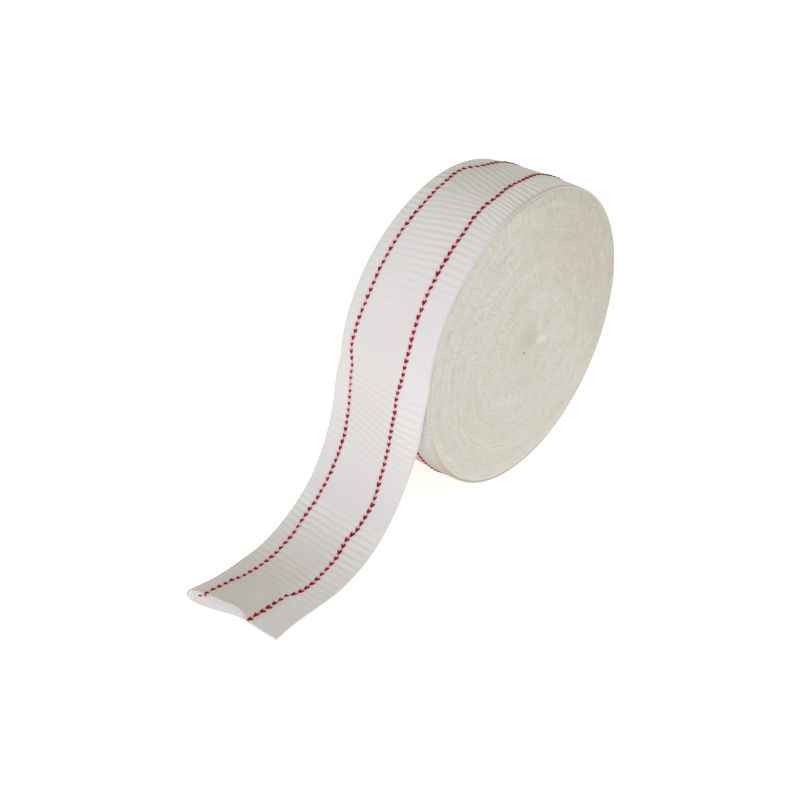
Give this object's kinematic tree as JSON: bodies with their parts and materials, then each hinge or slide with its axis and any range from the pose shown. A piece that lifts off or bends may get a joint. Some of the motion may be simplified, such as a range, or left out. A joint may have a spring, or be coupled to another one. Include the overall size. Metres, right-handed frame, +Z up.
{
  "type": "tubular bandage roll",
  "caption": "Roll of knitted tubular bandage, the tube pressed flat and wound on itself, with red marker lines and a loose end draped to the surface.",
  "frame": {"origin": "on the surface, at the middle of the small flat spot under the roll", "axes": "+Z up, the roll's axis along Y with its seen face to -Y, the loose end running to -X"},
  "size_m": [0.1797, 0.0405, 0.1082],
  "materials": {
    "white_knit": "matt off-white cotton knit",
    "marker_yarn": "matt dark red yarn"
  },
  "bodies": {
    "root": {"wound_roll": "white_knit", "loose_end": "white_knit"}
  },
  "joints": []
}
